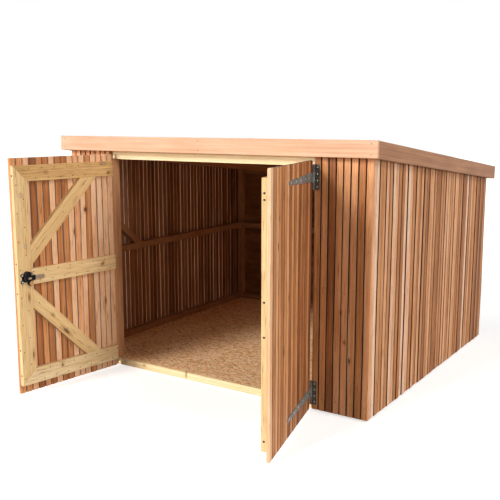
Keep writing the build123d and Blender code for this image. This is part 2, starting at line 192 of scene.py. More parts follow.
# ================================================================= finishes
def colour(code):
    """The linear colour of a hex code."""
    parts = [int(code[i:i + 2], 16) / 255 for i in (0, 2, 4)]
    return tuple(p / 12.92 if p <= 0.04045 else ((p + 0.055) / 1.055) ** 2.4 for p in parts) + (1.0,)


class NodeWork:
    """What a finish or the world's light is built up from, node by node."""

    def __init__(self, tree):
        self.nodes = tree.nodes
        self.links = tree.links

    def put(self, socket, value):
        if isinstance(value, bpy.types.NodeSocket):
            self.links.new(value, socket)
        else:
            socket.default_value = value

    def node(self, kind, given=None, **settings):
        """A new node with what each of its inputs is given, a value or another node's output."""
        node = self.nodes.new("ShaderNode" + kind)
        for key, value in settings.items():
            setattr(node, key, value)
        for key, value in (given or {}).items():
            self.put(node.inputs[key], value)
        return node

    def sum(self, operation, first, second=0.0, third=0.0):
        return self.node("Math", {0: first, 1: second, 2: third}, operation=operation).outputs[0]

    def show(self, output, for_light, for_sight):
        """One shader for the light that falls on things, and one for the camera and for reflections."""
        rays = self.node("LightPath").outputs
        seen = self.sum("MAXIMUM", rays["Is Camera Ray"], rays["Is Glossy Ray"])
        choice = self.node("MixShader", {0: seen, 1: for_light.outputs[0], 2: for_sight.outputs[0]})
        self.put(self.nodes[output].inputs["Surface"], choice.outputs[0])


class Finish(NodeWork):
    """A procedural material."""

    def __init__(self, name, roughness, metallic=0.0, specular=0.5):
        self.material = bpy.data.materials.new(name)
        self.material.use_nodes = True
        super().__init__(self.material.node_tree)
        self.surface = self.nodes["Principled BSDF"]
        given = {"Roughness": roughness, "Metallic": metallic, "Specular IOR Level": specular}
        for key, value in given.items():
            self.put(self.surface.inputs[key], value)

    def board_place(self):
        """Across, through and along the board that each point belongs to."""
        return self.node("Attribute", attribute_name="grain").outputs["Vector"]

    def board_tone(self):
        return self.node("Attribute", attribute_name="tone").outputs["Fac"]

    def place(self):
        return self.node("TexCoord").outputs["Object"]

    def scaled(self, vector, factors, turn=(0, 0, 0)):
        return self.node("Mapping", {"Vector": vector, "Scale": factors, "Rotation": turn}).outputs[0]

    def noise(self, vector, scale, detail=2.0, roughness=0.5):
        given = {"Vector": vector, "Scale": scale, "Detail": detail, "Roughness": roughness}
        return self.node("TexNoise", given).outputs["Fac"]

    def cells(self, vector, scale, randomness=1.0):
        """Distance from the nearest cell's middle, and that cell's own random colour."""
        node = self.node("TexVoronoi", {"Vector": vector, "Scale": scale, "Randomness": randomness})
        return node.outputs["Distance"], node.outputs["Color"]

    def rings(self, vector, spacing):
        """Growth rings round the board's long axis, with a sharp edge to each ring."""
        scale = math.pi / 10 / spacing
        given = {"Vector": vector, "Scale": scale, "Distortion": 1.2, "Detail": 2.0, "Detail Scale": 0.12}
        node = self.node("TexWave", given, wave_type="RINGS", rings_direction="Z", wave_profile="SAW")
        return node.outputs["Fac"]

    def vary(self, base, pattern, strength):
        """base, raised and lowered by a pattern whose middle is a half."""
        return self.sum("MULTIPLY_ADD", self.sum("SUBTRACT", pattern, 0.5), strength, base)

    def band(self, value, low, high, to_low=0.0, to_high=1.0):
        """value from low to high, smoothly remapped."""
        given = {"Value": value, "From Min": low, "From Max": high, "To Min": to_low, "To Max": to_high}
        return self.node("MapRange", given, interpolation_type="SMOOTHSTEP").outputs[0]

    def parts(self, vector):
        return self.node("SeparateXYZ", {0: vector}).outputs

    def ramp(self, value, stops):
        node = self.node("ValToRGB", {0: value})
        elements = node.color_ramp.elements
        while len(elements) < len(stops):
            elements.new(0.5)
        for element, (position, code) in zip(elements, stops):
            element.position = position
            element.color = colour(code)
        return node.outputs[0]

    def mix(self, factor, first, second, way="MIX"):
        given = {0: factor, 6: first, 7: second}
        return self.node("Mix", given, data_type="RGBA", blend_type=way).outputs[2]

    def stain(self, ground, where, strength, code, way="MULTIPLY"):
        """ground with this colour laid over it, at this strength where the pattern is 1."""
        return self.mix(self.sum("MULTIPLY", where, strength), ground, colour(code), way)

    def bump(self, height, depth, strength=1.0):
        node = self.node("Bump", {"Height": height, "Distance": depth, "Strength": strength})
        self.put(self.surface.inputs["Normal"], node.outputs[0])

    def paint(self, value):
        self.put(self.surface.inputs["Base Color"], value)
        return self.material


# what is laid over the tones of every timber
LATE_WOOD = "8a4a24"
FIBRE_SHADE = "8d7a6c"
NO_SHADE = "ffffff"
FLECK = "9a6236"
KNOT = "3a1e10"
KNOT_HALO = "a5683c"
KNOT_RING = "a0622f"
# painted shade in the joints between slats
JOINT_SHADE = "2a150a"
# painted shade on the inner faces of the slats, inside the shelter
INSIDE_SHADE = "5f381c"


def timber_finish(name, tones, ring_spacing, ring_depth, fibre_depth, knot_share, knot_size, roughness,
                  flecks=0.0, dark_joints=0.0, joint_front=(0.99, 0.83), joint_back=(-0.45, 0.1),
                  dark_inside=0.0, marks=()):
    """Planed softwood: tone of the board, growth rings, fibres and knots that run with its grain.

    Rings are spaced in metres. knot_share is the share of a board's cells that hold a knot, and
    knot_size how much of its cell it fills. flecks are short dark streaks. dark_joints is painted shade
    in the joints between slats, which comes in along joint_front and goes out along joint_back, where 1
    is a slat's outer face and -1 its inner one, and dark_inside painted shade on the inner faces. Each
    mark is a knot with a place of its own: middle, turn, half sizes and colour.
    """
    wood = Finish(name, roughness, specular=0.3)
    place = wood.board_place()
    drift = wood.noise(wood.scaled(place, (9, 9, 2.4)), 1.0, 3.0)
    fibres = wood.noise(wood.scaled(place, (420, 420, 6)), 1.0, 3.0, 0.6)
    streaks = wood.noise(wood.scaled(place, (90, 90, 1.6)), 1.0, 2.0)
    short_streaks = wood.band(wood.noise(wood.scaled(place, (170, 170, 9)), 1.0, 2.0), 0.58, 0.72)
    rings = wood.rings(wood.scaled(place, (1, 1, 0.06)), ring_spacing)
    late = wood.band(rings, 0.35, 1.0)

    knot_distance, knot_colour = wood.cells(wood.scaled(place, (7.5, 0, 3.1)), 1.0)
    chosen = wood.sum("LESS_THAN", wood.parts(knot_colour)[0], knot_share)
    knots = wood.sum("MULTIPLY", wood.band(knot_distance, knot_size, knot_size * 0.45), chosen)
    halo = wood.sum("MULTIPLY", wood.band(knot_distance, knot_size * 3.2, knot_size * 0.8), chosen)

    tone = wood.vary(wood.board_tone(), drift, 0.5)
    tone = wood.vary(tone, streaks, 0.5)
    ground = wood.ramp(tone, tones)
    ground = wood.stain(ground, late, ring_depth, LATE_WOOD)
    fibre_shade = wood.ramp(fibres, [(0.3, FIBRE_SHADE), (0.62, NO_SHADE)])
    ground = wood.mix(fibre_depth, ground, fibre_shade, "MULTIPLY")
    ground = wood.stain(ground, short_streaks, flecks, FLECK)
    ground = wood.stain(ground, halo, 0.45, KNOT_HALO)
    ground = wood.stain(ground, knots, 0.85, KNOT, "MIX")
    if dark_joints:
        outward = wood.node("Attribute", attribute_name="outward").outputs["Fac"]
        joint = wood.sum("MULTIPLY", wood.band(outward, *joint_front), wood.band(outward, *joint_back))
        # painted shade on the slats' sides deep in the joints
        ground = wood.stain(ground, joint, dark_joints, JOINT_SHADE, "MIX")
        # painted shade on the slats' inner faces
        inside = wood.band(outward, -0.93, -1.0)
        ground = wood.stain(ground, inside, dark_inside, INSIDE_SHADE, "MIX")
    for middle, turn, sizes, code in marks:
        given = {"Vector": wood.place(), "Location": middle, "Rotation": turn, "Scale": sizes}
        spot = wood.node("Mapping", given, vector_type="TEXTURE")
        reach = wood.node("VectorMath", {0: spot.outputs[0]}, operation="LENGTH")
        ragged = wood.vary(reach.outputs["Value"], fibres, 0.9)
        ground = wood.stain(ground, wood.band(ragged, 2.3, 1.0), 0.35, KNOT_RING)
        ground = wood.stain(ground, wood.band(ragged, 1.0, 0.6), 0.85, code, "MIX")
    wood.bump(wood.sum("MULTIPLY_ADD", late, -0.4, fibres), 0.0005, 0.5)
    return wood.paint(ground)


CEDAR_TONES = [
    (0.0, "4a2d1a"), (0.18, "7a4827"), (0.42, "b3723f"), (0.65, "d99860"), (0.84, "eeae7c"), (1.0, "f8ca9f"),
]
SIDE_TONES = [
    (0.0, "4a2d1a"), (0.18, "7a4827"), (0.42, "b4743f"), (0.65, "da9c68"), (0.84, "f0b68c"), (1.0, "fbd4b4"),
]
CEDAR_GRAIN = {
    "ring_spacing": 0.0022, "ring_depth": 0.35, "knot_share": 0.10, "knot_size": 0.055, "roughness": 0.62,
}
WALL_CEDAR = timber_finish(
    "cedar wall slats", CEDAR_TONES, fibre_depth=0.35, **CEDAR_GRAIN,
    flecks=0.55, dark_joints=0.97, dark_inside=0.65,
    marks=[front_knot(x, wall_low.y, z, *knot) for x, z, *knot in WALL_KNOTS],
)
SIDE_CEDAR = timber_finish(
    "cedar side wall slats", SIDE_TONES, fibre_depth=0.4, **CEDAR_GRAIN,
    flecks=0.7, dark_joints=0.95, dark_inside=0.7,
)
LEAF_CEDAR = timber_finish(
    "cedar leaf slats", CEDAR_TONES, fibre_depth=0.4, **CEDAR_GRAIN,
    flecks=0.7, dark_joints=0.8, joint_front=(0.99, 0.84), joint_back=(-1.0, -0.3),
    marks=(
        [leaf_knot(LEFT, SLAT_THICKNESS, *knot) for knot in LEFT_SLAT_KNOTS]
        + [leaf_knot(RIGHT, 0.0, *knot) for knot in RIGHT_SLAT_KNOTS]
    ),
)
FASCIA = timber_finish(
    "planed fascia boards",
    [(0.0, "946444"), (0.35, "bd8a62"), (0.7, "dbac8b"), (1.0, "f0c8a8")],
    ring_spacing=0.009, ring_depth=0.1, fibre_depth=0.14, knot_share=0.0, knot_size=0.05, roughness=0.55,
)
DOOR_TIMBER = timber_finish(
    "treated door timber",
    [(0.0, "bd8e54"), (0.35, "dab074"), (0.7, "e9c78f"), (1.0, "f4dcb0")],
    ring_spacing=0.0035, ring_depth=0.2, fibre_depth=0.45, knot_share=0.1, knot_size=0.05, roughness=0.6,
    flecks=0.6,
    marks=[leaf_knot(LEFT, LEAF_FRAME_FACE, *knot) for knot in LEFT_FRAME_KNOTS],
)
FRAME_TIMBER = timber_finish(
    "sawn framing timber",
    [(0.0, "7d5233"), (0.35, "94643f"), (0.7, "b07f55"), (1.0, "d6a478")],
    ring_spacing=0.004, ring_depth=0.25, fibre_depth=0.3, knot_share=0.15, knot_size=0.06, roughness=0.7,
    flecks=0.4,
)
PALE_TIMBER = timber_finish(
    "pale sill timber",
    [(0.0, "d9b278"), (0.35, "e8c68f"), (0.7, "f5d8a2"), (1.0, "ffe6b8")],
    ring_spacing=0.006, ring_depth=0.16, fibre_depth=0.15, knot_share=0.12, knot_size=0.05, roughness=0.55,
    flecks=0.25,
    marks=[
        front_knot(-0.170, sill_low.y, sill_high.z - 0.012, 0.006, 0.022, "9c6c34", SILL_KNOT_DEPTH),
        front_knot(-0.520, sill_low.y, sill_high.z - 0.016, 0.010, 0.006, "c0904e", SILL_KNOT_DEPTH),
    ],
)


FLAKE_TURNS = (0.1, 0.6, 2.5, 3.0)
FLAKES_PER_METRE = (46, 150, 150)    # along a flake, and across it
FLAKE_WARP = (0.003, 0.003, 0.003)


def strand_board_finish():
    """Flakes of wood pressed flat in several directions, each with its own tone."""
    board = Finish("strand board", 0.6, specular=0.3)
    place = board.place()
    ripple = board.node("TexNoise", {"Vector": place, "Scale": 35})
    given = {0: ripple.outputs["Color"], 1: FLAKE_WARP, 2: place}
    warped = board.node("VectorMath", given, operation="MULTIPLY_ADD")
    height = tone = None
    for turn in FLAKE_TURNS:
        flakes = board.scaled(warped.outputs[0], FLAKES_PER_METRE, (0, 0, turn))
        distance, own = board.cells(flakes, 1.0, 0.9)
        red, green, _ = board.parts(own)
        level = board.sum("MULTIPLY_ADD", distance, -0.35, red)
        if height is None:
            height, tone = level, green
        else:
            over = board.sum("GREATER_THAN", level, height)
            tone = board.sum("ADD", board.sum("MULTIPLY", over, green),
                             board.sum("MULTIPLY", board.sum("SUBTRACT", 1.0, over), tone))
            height = board.sum("MAXIMUM", level, height)
    grain = board.noise(board.scaled(place, (260, 60, 260), (0, 0, 0.4)), 1.0, 3.0)
    tone = board.vary(tone, grain, 0.9)
    # the ramp is paler than strand board is: painted light for the light that the floor under the roof lacks
    ground = board.ramp(tone, [
        (0.0, "a8703c"), (0.18, "dd9e60"), (0.4, "fcc488"), (0.7, "ffdcaa"), (1.0, "ffeed2"),
    ])
    board.bump(height, 0.0004, 0.3)
    return board.paint(ground)


def plywood_finish():
    """A peeled face veneer with long level figure and fine bands."""
    sheet = Finish("back wall board", 0.6, specular=0.3)
    place = sheet.place()
    figure = sheet.noise(sheet.scaled(place, (2.2, 1, 11)), 1.0, 4.0, 0.6)
    bands = sheet.noise(sheet.scaled(place, (9, 9, 120)), 1.0, 2.0)
    tone = sheet.vary(figure, bands, 0.3)
    # the ramp is darker than the board's own colour: painted shade, as the board stands inside the shelter
    ground = sheet.ramp(tone, [(0.25, "5a351a"), (0.5, "7a4b29"), (0.75, "96683e")])
    sheet.bump(bands, 0.0003)
    return sheet.paint(ground)


def galvanised_finish(name, dark, middle, light):
    """Hot-dip zinc: dull grey with crystal spangle and a little white bloom."""
    zinc = Finish(name, 0.45, metallic=0.3)
    place = zinc.place()
    _, own = zinc.cells(place, 170)
    speck = zinc.noise(place, 420, 3.0, 0.7)
    bloom = zinc.noise(place, 30, 3.0)
    tone = zinc.sum("MULTIPLY_ADD", zinc.parts(own)[0], 0.35, zinc.sum("MULTIPLY", speck, 0.5))
    tone = zinc.sum("MULTIPLY_ADD", bloom, 0.3, tone)
    zinc.put(zinc.surface.inputs["Roughness"], zinc.band(speck, 0.2, 0.8, 0.38, 0.6))
    zinc.bump(speck, 0.0002)
    return zinc.paint(zinc.ramp(tone, [(0.2, dark), (0.5, middle), (0.8, light)]))


def metal_finish(name, dark, light, roughness, metallic, specular=0.5):
    """Smooth metal whose colour and gloss vary a little with wear."""
    metal = Finish(name, roughness, metallic, specular)
    wear = metal.noise(metal.place(), 260, 4.0, 0.6)
    gloss = metal.band(wear, 0.2, 0.8, roughness - 0.1, roughness + 0.12)
    metal.put(metal.surface.inputs["Roughness"], gloss)
    metal.bump(wear, 0.00012)
    return metal.paint(metal.ramp(wear, [(0.3, dark), (0.7, light)]))


def liner_finish():
    """Black rubber sheet with fine pores and a little pale dust in broad patches."""
    rubber = Finish("rubber roof liner", 0.72, specular=0.35)
    place = rubber.place()
    pores = rubber.noise(place, 900, 2.0)
    dust = rubber.noise(place, 4.0, 4.0, 0.6)
    rubber.bump(pores, 0.0002)
    return rubber.paint(rubber.ramp(dust, [(0.35, "1b1b1c"), (0.6, "2a2a2b"), (0.8, "3c3a37")]))


STRAND_BOARD = strand_board_finish()
PLYWOOD = plywood_finish()
ZINC = galvanised_finish("galvanised steel", "393835", "62615d", "9a9993")
# a darker copy of the same zinc for the hinge plates: painted shade where the leaf's shadow falls on them
SHADED_ZINC = galvanised_finish("shaded galvanised steel", "282622", "46433c", "706d63")
BLACK_METAL = metal_finish("black lock metal", "050505", "0f0f0f", 0.5, 0.0, specular=0.15)
LOCK_PLATE = metal_finish("lock window plate", "8a7c6c", "c4b29c", 0.45, 0.2)
BRASS = metal_finish("brass", "b8824e", "e8bc8a", 0.35, 0.4)
BOLT_STEEL = metal_finish("drawn bolt steel", "8a7a6a", "b8a690", 0.4, 0.55)
SCREW_STEEL = metal_finish("dark coated screws", "120c08", "281c14", 0.8, 0.0)
# the pale colour is partly the zinc plating's own and partly painted highlight, so that the lug screws glint
BRIGHT_SCREW = metal_finish("zinc plated screws", "a9a9a6", "dededa", 0.35, 0.4)
RUBBER = liner_finish()


# ========================================================== modelling helpers
def only(*objects):
    """Selects just these objects, with the first of them active."""
    bpy.ops.object.select_all(action="DESELECT")
    for o in objects:
        o.select_set(True)
    bpy.context.view_layer.objects.active = objects[0]


def apply_place(piece):
    only(piece)
    bpy.ops.object.transform_apply(location=True, rotation=True, scale=True)
    return piece


def squared(name, low, high):
    """A squared length of timber between two corners."""
    low, high = Vector(low), Vector(high)
    bpy.ops.object.select_all(action="DESELECT")
    bpy.ops.mesh.primitive_cube_add(size=1, location=(low + high) / 2, scale=high - low)
    piece = bpy.context.object
    piece.name = name
    return apply_place(piece)


def leave_edit():
    bpy.ops.object.mode_set(mode="OBJECT")


def pick_none(piece, kind):
    """Makes this piece the active one, with none of its edges or faces, whichever kind says, selected."""
    only(piece)
    bpy.ops.object.mode_set(mode="EDIT")
    bpy.ops.mesh.select_mode(type=kind)
    bpy.ops.mesh.select_all(action="DESELECT")
    leave_edit()


def pick_edges(piece, wanted=lambda a, b: True):
    """Goes into edit mode with the edges selected whose two ends wanted() accepts, or with all of them."""
    pick_none(piece, "EDGE")
    points = [vertex.co for vertex in piece.data.vertices]
    for edge in piece.data.edges:
        edge.select = wanted(points[edge.vertices[0]], points[edge.vertices[1]])
    bpy.ops.object.mode_set(mode="EDIT")


def pick_faces(piece, wanted):
    """Goes into edit mode with the faces selected whose normal wanted() accepts."""
    pick_none(piece, "FACE")
    for face in piece.data.polygons:
        face.select = wanted(face.normal)
    bpy.ops.object.mode_set(mode="EDIT")


def ease_edges(slat):
    """Rounds all edges of a slat."""
    pick_edges(slat)
    bpy.ops.mesh.bevel(offset=SLAT_EASE, segments=1)
    leave_edit()


def copy_of(piece, name):
    """Another of the same piece, with its own mesh."""
    twin = piece.copy()
    twin.data = piece.data.copy()
    twin.name = name
    bpy.context.scene.collection.objects.link(twin)
    return twin


def joined(pieces, name):
    only(*pieces)
    if len(pieces) > 1:
        bpy.ops.object.join()
    whole = bpy.context.object
    whole.name = name
    return whole


def dismiss(piece):
    bpy.data.objects.remove(piece)


def store(mesh, places, tones, faces_out):
    """Keeps what the finishes read at each point.

    That is its place in its board, its board's tone, and how far it is to the board's outer face:
    1 there, 0 halfway through the board and -1 at its inner face.
    """
    for name, kind, part, values in (
        ("grain", "FLOAT_VECTOR", "vector", [number for place in places for number in place]),
        ("tone", "FLOAT", "value", tones),
        ("outward", "FLOAT", "value", faces_out),
    ):
        mesh.attributes.new(name, kind, "POINT").data.foreach_set(part, values)


# the axes that run across, through and along a slat
WIDE_ON_X = (0, 1, 2)
WIDE_ON_Y = (1, 0, 2)


def write_grain(piece, axes, tone, rng, centre, outward, bare=False):
    """One slat's grain, moved at random so that no two slats match. A bare slat is in no joint."""
    shift = Vector((rng.uniform(0.02, 0.09), rng.uniform(0.02, 0.12), rng.uniform(0, 40)))
    points = [vertex.co for vertex in piece.data.vertices]
    places = [Vector((point - centre)[axis] for axis in axes) + shift for point in points]
    faces_out = [1.0 if bare else (point - centre).dot(outward) * 2 / SLAT_THICKNESS for point in points]
    store(piece.data, places, [tone] * len(places), faces_out)


def finish_piece(piece, material, body, slot, *nodes):
    piece.data.materials.clear()
    piece.data.materials.append(material)
    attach(piece, body)
    if nodes:
        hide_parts(*nodes)


# ------------------------------------------------------------- the two leaves
def shut_box(side, node):
    """Box of a leaf's node with the leaf shut."""
    shutting = leaf_matrix(side).inverted()
    points = [shutting @ vertex.co for vertex in frame["nodes"][node].data.vertices]
    low = Vector(min(p[i] for p in points) for i in range(3))
    high = Vector(max(p[i] for p in points) for i in range(3))
    return low, high


def open_leaf(piece, side):
    piece.matrix_world = leaf_matrix(side) @ piece.matrix_world
    return apply_place(piece)


# ==================================================================== slats
def model_slat(height, bow):
    """One slat standing on the origin: eased edges, and a slight bow along its length."""
    half_slat, half_thick = SLAT_WIDTH / 2, SLAT_THICKNESS / 2
    slat = squared("slat", (-half_slat, -half_thick, 0), (half_slat, half_thick, height))
    ease_edges(slat)
    pick_edges(slat, lambda a, b: abs(a.z - b.z) > height / 2)
    bpy.ops.mesh.subdivide(number_cuts=len(BOW_LEVELS))
    leave_edit()
    for share, lean in zip(BOW_LEVELS, bow):
        level = share * height
        pick_edges(slat, lambda a, b: max(abs(a.z - level), abs(b.z - level)) < SLAT_WIDTH)
        bpy.ops.transform.translate(value=(lean, 0, 0))
        leave_edit()
    return slat


def pick_bows(count, factor, way, rng):
    """Which modelled slat comes next in a row, turned or not, so that no two touch or gape.

    way is 1 where the row runs the way the slats lean, and -1 where it runs the other way.
    """
    row = []
    while len(row) < count:
        number, turned = rng.randrange(len(SLAT_BOWS)), rng.choice((1, -1))
        leans = [way * turned * factor * lean for lean in SLAT_BOWS[number]]
        gaps = [SLAT_GAP + lean - before for lean, before in zip(leans, row[-1][2])] if row else []
        if all(NARROW_GAP < gap < WIDE_GAP for gap in gaps):
            row.append((number, turned, leans))
    return row


DARK_SLAT = 0.34
PALE_SLAT = 0.96
ODD_SLATS = 0.2              # the share of slats that are one or the other
USUAL_SLATS = (0.48, 0.82)
slat_faces = {}              # the foot of each slat's outer face, row by row, for the nails


def lay_slats(name, patterns, factor, places, tones, rng, outward, uneven, bare=None):
    """Copies of the modelled slats at these places, each with its own grain and tone.

    factor is how much more bent the patterns are than SLAT_BOWS says. Each slat stands up to this
    uneven in front of or behind its place. The edge of the bare one shows.
    """
    row = []
    slat_faces[name] = []
    outward = Vector(outward)
    axes = WIDE_ON_X if outward.y else WIDE_ON_Y
    way = 1 if sum(places[1]) > sum(places[0]) else -1
    bows = pick_bows(len(places), factor, way, rng)
    for place, tone, (number, turned, _) in zip(places, tones, bows):
        place = Vector(place) + outward * rng.uniform(-uneven, uneven)
        slat = copy_of(patterns[number], name)
        turn = (0 if turned > 0 else math.pi) + (0 if outward.y else math.pi / 2)
        slat.matrix_world = Matrix.Translation(place) @ Matrix.Rotation(turn, 4, "Z")
        apply_place(slat)
        write_grain(slat, axes, tone, rng, place, outward, bare=len(row) == bare)
        slat_faces[name].append(place + outward * SLAT_THICKNESS / 2)
        row.append(slat)
    return joined(row, name)


def random_tones(count, rng):
    """Mostly middling slats, with a dark or a pale one now and then."""
    return [
        rng.choice((DARK_SLAT, PALE_SLAT)) if rng.random() < ODD_SLATS else rng.uniform(*USUAL_SLATS)
        for _ in range(count)
    ]


side_low, side_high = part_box("right_wall_cladding")
_, back_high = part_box("back_wall_cladding")
slat_foot = wall_low.z
half_width = -wall_low.x
front = wall_low.y
back = back_high.y
eaves = wall_high.z
# the roof falls in a straight line from the front slats' face to the back slats' inner face
roof_fall = (eaves - back_high.z) / (back - SLAT_THICKNESS - front)


def trim_to_roof(piece):
    """Cuts what stands above the underside of the roof."""
    pick_edges(piece)
    bpy.ops.mesh.bisect(
        plane_co=(0, front, eaves), plane_no=(0, roof_fall, 1), use_fill=True, clear_outer=True,
    )
    leave_edit()
    return piece


def model_slats(height, factor):
    """One slat for each bow, bent this much more than SLAT_BOWS says."""
    return [model_slat(height, [factor * lean for lean in bow]) for bow in SLAT_BOWS]


wall_slats = model_slats(eaves - slat_foot + SPARE_LENGTH, 1)
side_slats = model_slats(eaves - slat_foot + SPARE_LENGTH, SIDE_BOW)
leaf_low, leaf_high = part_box("left_door_cladding")
leaf_slats = model_slats(leaf_high.z - leaf_low.z, LEAF_BOW)

# how pale each slat is: a front panel's from its corner to the doorway. The right panel's are set a
# little darker than the left's, partly painted shade that deepens the leaf's shadow on it
FRONT_TONES = {
    LEFT: [0.62, 0.75, 0.50, 0.70, 0.58, 0.80, 0.66, 0.72],
    RIGHT: [0.75, 0.50, 0.72, 0.80, 0.70, 0.37, 0.66, 0.50],
}
# a leaf's from the hinges outwards. The left leaf's slats are painted paler than the right leaf's,
# though all are one cedar: painted light on the left leaf's inside and painted shade on the right
# leaf's outside. On the left leaf the palest slats by the hinges are painted light as well, and the
# dark ones a few slats from the stile are painted shade
LEAF_TONES = {
    LEFT: [
        1.00, 1.00, 1.00, 1.00, 0.55, 1.00, 0.80, 0.97, 0.53, 0.46, 0.95, 0.47, 0.64, 0.36, 0.92, 0.68, 0.66,
    ],
    RIGHT: [
        0.18, 0.54, 0.30, 0.40, 0.45, 0.22, 0.57, 0.42, 0.69, 0.32, 0.78, 0.57, 0.49, 0.64, 0.81, 0.56, 1.00,
    ],
}
# and a side wall's from its front, where the corner slat comes before them, to the back
WALL_TONES = [
    1.00, 0.60, 0.58, 0.73, 0.56, 0.97, 0.72, 0.45, 0.38, 0.95, 0.95, 0.74, 0.51, 0.69, 0.43,
    0.77, 0.53, 0.31, 0.60, 0.72, 0.56, 0.37, 0.34, 0.50, 0.57, 0.80, 0.80, 0.57, 0.64, 0.74,
    0.67, 0.46, 0.57, 0.31, 0.40, 0.98, 0.48, 0.74, 0.41, 0.60, 0.48, 0.25, 0.48, 0.22, 0.57,
]
CORNER_TONE = 0.86

rng = random.Random(4)
for side, name in SIDES:
    places = [
        (side * (half_width - SLAT_WIDTH / 2 - i * PITCH), front + SLAT_THICKNESS / 2, slat_foot)
        for i in range(PANEL_SLATS)
    ]
    panel = lay_slats(
        f"front_{name}_slats", wall_slats, 1, places, FRONT_TONES[side], rng, (0, -1, 0), LEVEL_ROW, bare=0,
    )
    trim_to_roof(panel)
    finish_piece(panel, WALL_CEDAR, "shelter", "cedar_slats", f"front_{name}_cladding")

    count = round((side_high.y - side_low.y - SLAT_WIDTH + SLAT_THICKNESS) / PITCH) + 1
    wall_line = side * (half_width - SLAT_THICKNESS / 2)
    places = [(wall_line, front + SLAT_WIDTH / 2 + i * PITCH, slat_foot) for i in range(1, count)]
    tones = WALL_TONES + random_tones(max(0, count - 1 - len(WALL_TONES)), rng)
    wall = lay_slats(
        f"{name}_wall_slats", side_slats, SIDE_BOW, places, tones, rng, (side, 0, 0), UNEVEN_ROW,
    )
    # the slat at the corner is narrower, as it stands behind the front panel's
    centre = Vector((wall_line, front + SLAT_WIDTH / 2, slat_foot))
    corner = squared(
        "corner_slat",
        (centre.x - SLAT_THICKNESS / 2, front + SLAT_THICKNESS, slat_foot),
        (centre.x + SLAT_THICKNESS / 2, front + SLAT_WIDTH, eaves),
    )
    ease_edges(corner)
    write_grain(corner, WIDE_ON_Y, CORNER_TONE, rng, centre, Vector((side, 0, 0)), bare=True)
    wall = trim_to_roof(joined([wall, corner], f"{name}_wall_slats"))
    finish_piece(wall, SIDE_CEDAR, "shelter", "cedar_slats", f"{name}_wall_cladding")

    body, _ = LEAVES[side]
    low, high = shut_box(side, f"{name}_door_cladding")
    hinge_edge = low.x if side == LEFT else high.x
    places = [
        (hinge_edge - side * (SLAT_WIDTH / 2 + i * PITCH), (low.y + high.y) / 2, low.z)
        for i in range(LEAF_SLATS)
    ]
    leaf = lay_slats(
        f"{name}_leaf_slats", leaf_slats, LEAF_BOW, places, LEAF_TONES[side], rng, (0, -1, 0), LEVEL_ROW,
        bare=LEAF_SLATS - 1,
    )
    open_leaf(leaf, side)
    finish_piece(leaf, LEAF_CEDAR, body, "cedar_slats", f"{name}_door_cladding")

# the back wall has as many slats as the front has with its leaves shut
count = 2 * (PANEL_SLATS + LEAF_SLATS)
places = [
    (half_width - SLAT_WIDTH / 2 - i * PITCH, back - SLAT_THICKNESS / 2, slat_foot) for i in range(count)
]
tones = random_tones(count, rng)
wall = lay_slats("back_wall_slats", wall_slats, 1, places, tones, rng, (0, 1, 0), UNEVEN_ROW)
trim_to_roof(wall)
finish_piece(wall, WALL_CEDAR, "shelter", "cedar_slats", "back_wall_cladding")
for pattern in wall_slats + side_slats + leaf_slats:
    dismiss(pattern)


# ========================================================= boards and framing
SAME_POINT = 0.00001         # points nearer than this are merged
SAME_FACE = math.radians(1)  # and faces that turn less than this become one
# the darkest and the palest that a board of these may be
MIXED_TONES = (0.35, 0.8)
# the jamb posts are painted paler than the other framing: painted light where the lamps leave them in shade
JAMB_TONES = (0.92, 1.0)
# the front fascia is painted paler than the other three, though all are the same boards: painted light on the
# front one and painted shade on the others
FRONT_FASCIA_TONES = (0.58, 0.62)
FASCIA_TONES = (0.02, 0.1)
SILL_TONES = (0.8, 0.9)
# the header is painted paler: painted light that lifts the fascia's shadow on it
HEADER_TONES = (0.95, 1.0)
LEAF_FRAME_SPREAD = 0.03


def islands(mesh):
    """The separate boards of a mesh, as lists of vertex numbers."""
    leader = list(range(len(mesh.vertices)))

    def find(i):
        while leader[i] != i:
            leader[i] = leader[leader[i]]
            i = leader[i]
        return i

    for edge in mesh.edges:
        a, b = (find(i) for i in edge.vertices)
        leader[a] = b
    groups = {}
    for i in range(len(mesh.vertices)):
        groups.setdefault(find(i), []).append(i)
    return list(groups.values())


def middle_of(mesh, members):
    return sum((mesh.vertices[i].co for i in members), Vector()) / len(members)


def board_axes(mesh, members):
    """Across, through and along a board, from its longest edge and its widest face's normal."""
    chosen = set(members)
    edges = [edge for edge in mesh.edges if edge.vertices[0] in chosen]
    spans = [mesh.vertices[edge.vertices[1]].co - mesh.vertices[edge.vertices[0]].co for edge in edges]
    along = max(spans, key=lambda span: span.length).normalized()
    sides = [face for face in mesh.polygons if face.vertices[0] in chosen]
    sides = [face for face in sides if abs(face.normal.dot(along)) < 0.1]
    through = max(sides, key=lambda face: face.area).normal.copy()
    return along.cross(through).normalized(), through, along


